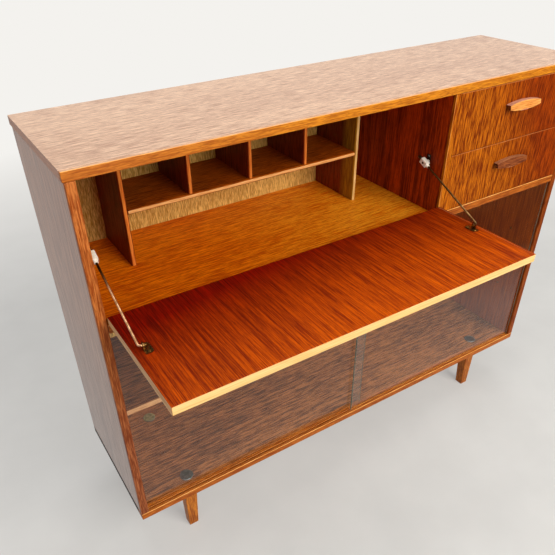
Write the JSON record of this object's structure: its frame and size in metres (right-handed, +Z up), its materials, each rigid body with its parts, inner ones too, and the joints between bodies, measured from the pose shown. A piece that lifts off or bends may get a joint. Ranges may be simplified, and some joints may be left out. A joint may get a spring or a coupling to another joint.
{
  "type": "drinks cabinet",
  "caption": "Teak drinks cabinet with a drop-down flap on sliding-rod stays, pigeonholes, drawers and sliding glass doors on tapered legs.",
  "frame": {"origin": "on the floor, under the middle of the box round the cabinet with its flap open", "axes": "+X to the right, -Y to the front where the flap and drawers open, +Z up"},
  "size_m": [1.372, 0.6568, 1.08],
  "materials": {
    "teak_veneer_top": "satin",
    "solid_teak_lip": "satin",
    "teak_veneer_sides": "satin",
    "teak_veneer_drawers": "satin",
    "sapele": "satin",
    "pale_lip": "satin",
    "back_plywood": "matte",
    "beech": "matte",
    "glass": "polished",
    "brass": "polished",
    "steel": "zinc plated",
    "nylon": "moulded"
  },
  "bodies": {
    "carcass": {"back_panel": "back_plywood", "bottom_board": "teak_veneer_sides", "bottom_lipping": "solid_teak_lip", "desk_board": "teak_veneer_sides", "desk_lipping": "solid_teak_lip", "divider": "sapele", "divider_lipping": "solid_teak_lip", "drawer_lower_left_runner": "beech", "drawer_lower_right_runner": "beech", "drawer_upper_left_runner": "beech", "drawer_upper_right_runner": "beech", "flap_catch": "nylon", "hinge_left_desk_leaf": "brass", "hinge_right_desk_leaf": "brass", "inner_shelf": "teak_veneer_sides", "left_side": "teak_veneer_sides", "left_side_lipping": "solid_teak_lip", "leg_bolt_front_left": "steel", "leg_bolt_front_right": "steel", "leg_bolt_rear_left": "steel", "leg_bolt_rear_right": "steel", "leg_front_left": "solid_teak_lip", "leg_front_right": "solid_teak_lip", "leg_rear_left": "solid_teak_lip", "leg_rear_right": "solid_teak_lip", "pigeonhole_divider_1": "sapele", "pigeonhole_divider_2": "sapele", "pigeonhole_divider_3": "sapele", "pigeonhole_left_upright": "sapele", "pigeonhole_right_upright": "sapele", "pigeonhole_shelf": "sapele", "right_side": "teak_veneer_sides", "right_side_lipping": "solid_teak_lip", "shelf_peg_front_left": "brass", "shelf_peg_front_right": "brass", "shelf_peg_rear_left": "brass", "shelf_peg_rear_right": "brass", "stay_left_wall_plate": "steel", "stay_right_wall_plate": "steel", "top_lipping": "solid_teak_lip", "top_panel": "teak_veneer_top"},
    "flap": {"flap_panel": "sapele", "flap_lipping": "pale_lip", "flap_pull": "solid_teak_lip", "hinge_left_flap_leaf": "brass", "hinge_right_flap_leaf": "brass", "stay_left_bracket": "brass", "stay_right_bracket": "brass"},
    "stay_left_rod": {"stay_left_rod": "brass"},
    "stay_right_rod": {"stay_right_rod": "brass"},
    "stay_left_block": {"stay_left_block": "nylon"},
    "stay_right_block": {"stay_right_block": "nylon"},
    "drawer_lower": {"drawer_lower_front": "teak_veneer_drawers", "drawer_lower_box": "beech", "drawer_lower_pull": "solid_teak_lip"},
    "drawer_upper": {"drawer_upper_front": "teak_veneer_drawers", "drawer_upper_box": "beech", "drawer_upper_pull": "solid_teak_lip"},
    "pane_left": {"pane_left": "glass"},
    "pane_right": {"pane_right": "glass"}
  },
  "joints": [
    {"name": "flap_hinge", "type": "hinge", "parent": "carcass", "child": "flap", "pos_m": [-0.2285, -0.0382, 0.7683], "axis": [-1, 0, 0], "range_deg": [0, 90]},
    {"name": "stay_left_rod_eye", "type": "hinge", "parent": "flap", "child": "stay_left_rod", "pos_m": [-0.65, -0.16842, 0.7999], "axis": [-1, 0, 0], "range_deg": [-45, 0]},
    {"name": "stay_left_block_pivot", "type": "hinge", "parent": "carcass", "child": "stay_left_block", "pos_m": [-0.65, 0.0198, 0.8891], "axis": [-1, 0, 0], "range_deg": [0, 45]},
    {"name": "stay_right_rod_eye", "type": "hinge", "parent": "flap", "child": "stay_right_rod", "pos_m": [0.193, -0.16842, 0.7999], "axis": [-1, 0, 0], "range_deg": [-45, 0]},
    {"name": "stay_right_block_pivot", "type": "hinge", "parent": "carcass", "child": "stay_right_block", "pos_m": [0.193, 0.0198, 0.8891], "axis": [-1, 0, 0], "range_deg": [0, 45]},
    {"name": "drawer_lower_slide", "type": "slide", "parent": "carcass", "child": "drawer_lower", "axis": [0, -1, 0], "range_m": [0, 0.28]},
    {"name": "drawer_upper_slide", "type": "slide", "parent": "carcass", "child": "drawer_upper", "axis": [0, -1, 0], "range_m": [0, 0.28]},
    {"name": "pane_left_slide", "type": "slide", "parent": "carcass", "child": "pane_left", "axis": [1, 0, 0], "range_m": [0, 0.64]},
    {"name": "pane_right_slide", "type": "slide", "parent": "carcass", "child": "pane_right", "axis": [-1, 0, 0], "range_m": [0, 0.64]}
  ],
  "couplings": [
    {"joint": "stay_left_rod_eye", "follows": "flap_hinge", "ratio": -0.5},
    {"joint": "stay_left_block_pivot", "follows": "flap_hinge", "ratio": 0.5},
    {"joint": "stay_right_rod_eye", "follows": "flap_hinge", "ratio": -0.5},
    {"joint": "stay_right_block_pivot", "follows": "flap_hinge", "ratio": 0.5}
  ]
}
